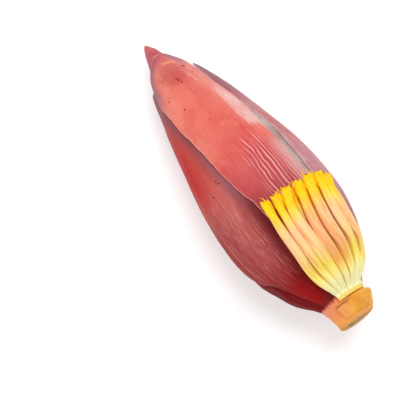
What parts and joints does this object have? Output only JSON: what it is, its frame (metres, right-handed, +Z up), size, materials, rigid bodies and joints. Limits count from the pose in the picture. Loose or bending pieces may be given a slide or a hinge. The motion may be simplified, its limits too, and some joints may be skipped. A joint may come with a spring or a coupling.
{
  "type": "banana blossom",
  "caption": "Banana blossom lying on its side: overlapping waxy red bracts round a pointed bud, a fan of yellow-tipped florets and a short cut stem.",
  "frame": {"origin": "centre of the footprint, at the surface the blossom lies on", "axes": "+X from the bud's tip toward the cut stem, +Z up, +Y to the side where the right bract shows"},
  "size_m": [0.2336, 0.083, 0.0937],
  "materials": {
    "inner_bud": "smooth rose-pink bract skin over a tight bud",
    "inner_bract": "dull grey-beige skin with fine lengthwise veins",
    "under_bract": "waxy dark maroon skin with lengthwise veins",
    "left_bract": "waxy maroon skin with pale streaks and a grey-violet band",
    "right_bract": "waxy pinkish-violet skin with a pale bloom",
    "upper_bract": "waxy salmon-red skin, puckered toward the stem, with small nicks",
    "floret_hand": "satin cream to peach tubes with rough golden heads",
    "stem": "fresh-cut tan and orange skin with a browned cut face"
  },
  "bodies": {
    "root": {"inner_bud": "inner_bud", "inner_bract": "inner_bract", "under_bract": "under_bract", "left_bract": "left_bract", "right_bract": "right_bract", "upper_bract": "upper_bract", "floret_hand": "floret_hand", "stem": "stem"}
  },
  "joints": []
}
